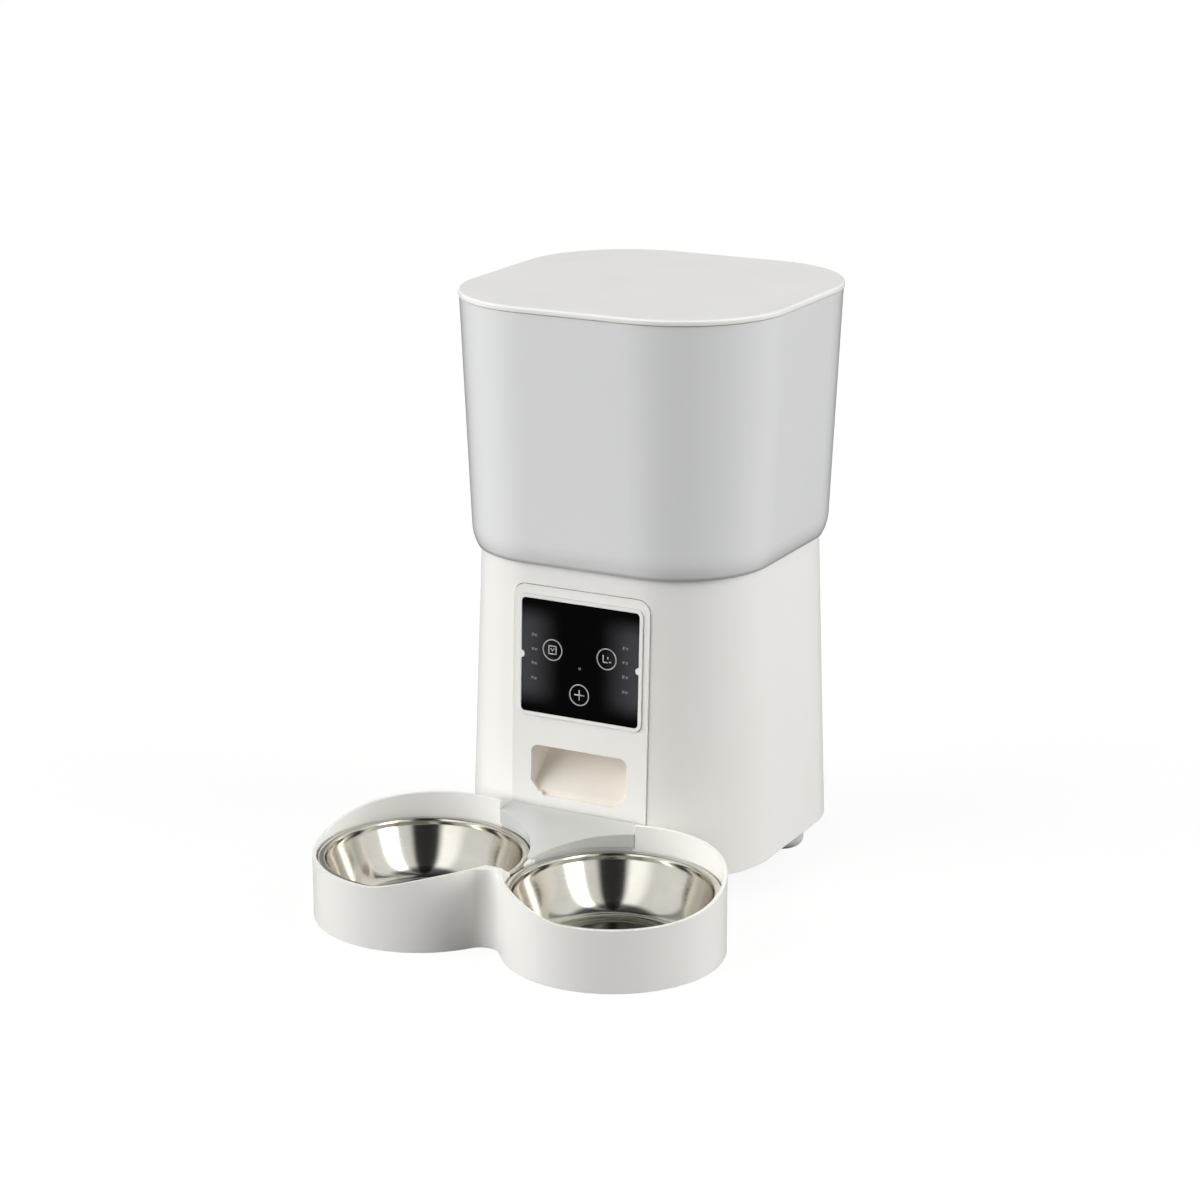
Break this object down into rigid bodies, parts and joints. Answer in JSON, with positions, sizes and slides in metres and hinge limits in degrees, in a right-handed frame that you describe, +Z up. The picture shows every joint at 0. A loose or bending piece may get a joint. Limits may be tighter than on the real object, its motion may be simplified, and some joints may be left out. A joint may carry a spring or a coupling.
{
  "type": "automatic pet feeder",
  "caption": "Upright automatic pet feeder: frosted food hopper over a housing with touch display and chute, feeding steel bowls in a figure-of-eight tray.",
  "frame": {"origin": "on the floor, in the middle of the whole feeder's width and depth", "axes": "+Z up, the front with the display and bowls faces -Y, +X to the right seen from the front"},
  "size_m": [0.265, 0.3518, 0.365],
  "materials": {
    "white_shell": "moulded, satin gloss",
    "warm_chute": "moulded, matt",
    "guide_plastic": "moulded, satin",
    "frosted_tank": "frosted translucent moulding",
    "inner_plastic": "moulded",
    "display_glass": "high gloss, back printed",
    "circuit_board": "solder mask",
    "steel_polished": "polished stainless steel",
    "steel_plain": "plain",
    "nylon": "moulded nylon",
    "soft_rubber": "moulded silicone rubber",
    "cell_wrap": "shrink sleeve",
    "black_plastic": "moulded",
    "bag_cloth": "non-woven bag"
  },
  "bodies": {
    "housing": {"base_screws": "steel_plain", "base_shell": "white_shell", "battery_box": "inner_plastic", "battery_cells": "cell_wrap", "battery_contacts": "steel_plain", "board_screws": "steel_plain", "bottom_plate": "white_shell", "chute": "warm_chute", "food_sensors": "inner_plastic", "front_panel": "white_shell", "gear_axles": "steel_plain", "gearbox_cover": "inner_plastic", "gearbox_housing": "inner_plastic", "gearbox_screws": "steel_plain", "indicator_lamps": "inner_plastic", "main_board": "circuit_board", "motor": "steel_plain", "panel_bezel": "white_shell", "panel_lens": "display_glass", "power_socket": "black_plastic", "rear_cover": "white_shell", "rubber_feet": "soft_rubber", "speaker": "steel_plain", "touch_board": "circuit_board", "touch_springs": "steel_plain"},
    "hopper": {"hopper": "frosted_tank", "hopper_seal": "soft_rubber", "hopper_funnel": "inner_plastic", "food_baffle": "soft_rubber"},
    "rotor": {"dispensing_rotor": "nylon", "stirrer": "soft_rubber"},
    "lid": {"lid": "white_shell", "lid_seal": "soft_rubber", "drier_cup": "white_shell", "drying_bag": "bag_cloth"},
    "drier_cap": {"drier_cap": "white_shell"},
    "output_drive": {"output_gear": "nylon", "drive_shaft": "steel_plain"},
    "second_gear": {"second_gear": "nylon"},
    "first_gear": {"first_gear": "nylon"},
    "motor_pinion": {"motor_pinion": "nylon"},
    "tray": {"bowl_tray": "white_shell"},
    "food_guide": {"food_guide": "guide_plastic"},
    "bowl_left": {"bowl_left": "steel_polished"},
    "bowl_right": {"bowl_right": "steel_polished"},
    "battery_cover": {"battery_cover": "white_shell"}
  },
  "joints": [
    {"name": "hopper_lift", "type": "slide", "parent": "housing", "child": "hopper", "axis": [0, 0, 1], "range_m": [0, 0.06]},
    {"name": "lid_lift", "type": "slide", "parent": "hopper", "child": "lid", "axis": [0, 0, 1], "range_m": [0, 0.04]},
    {"name": "drier_cap_twist", "type": "hinge", "parent": "lid", "child": "drier_cap", "pos_m": [0, 0.0689, 0.339], "axis": [0, 0, 1], "range_deg": [0, 45]},
    {"name": "rotor_spin", "type": "hinge", "parent": "hopper", "child": "rotor", "pos_m": [0, 0.0689, 0.21], "axis": [0, 0, 1], "continuous": true},
    {"name": "output_spin", "type": "hinge", "parent": "housing", "child": "output_drive", "pos_m": [0, 0.0689, 0.19], "axis": [0, 0, 1], "continuous": true},
    {"name": "second_gear_spin", "type": "hinge", "parent": "housing", "child": "second_gear", "pos_m": [0, 0.09058, 0.18], "axis": [0, 0, 1], "continuous": true},
    {"name": "first_gear_spin", "type": "hinge", "parent": "housing", "child": "first_gear", "pos_m": [0.0142, 0.10478, 0.17], "axis": [0, 0, 1], "continuous": true},
    {"name": "motor_spin", "type": "hinge", "parent": "housing", "child": "motor_pinion", "pos_m": [0, 0.11898, 0.17], "axis": [0, 0, 1], "continuous": true},
    {"name": "tray_pull", "type": "slide", "parent": "housing", "child": "tray", "axis": [0, -1, 0], "range_m": [0, 0.06]},
    {"name": "food_guide_lift", "type": "slide", "parent": "tray", "child": "food_guide", "axis": [0, 0, 1], "range_m": [0, 0.04]},
    {"name": "bowl_left_lift", "type": "slide", "parent": "tray", "child": "bowl_left", "axis": [0, 0, 1], "range_m": [0, 0.05]},
    {"name": "bowl_right_lift", "type": "slide", "parent": "tray", "child": "bowl_right", "axis": [0, 0, 1], "range_m": [0, 0.05]},
    {"name": "battery_cover_drop", "type": "slide", "parent": "housing", "child": "battery_cover", "axis": [0, 0, -1], "range_m": [0, 0.03]}
  ],
  "couplings": [
    {"joint": "output_spin", "follows": "rotor_spin", "ratio": 1},
    {"joint": "second_gear_spin", "follows": "rotor_spin", "ratio": -2.8571},
    {"joint": "first_gear_spin", "follows": "rotor_spin", "ratio": 7.3469},
    {"joint": "motor_spin", "follows": "rotor_spin", "ratio": -18.892}
  ]
}
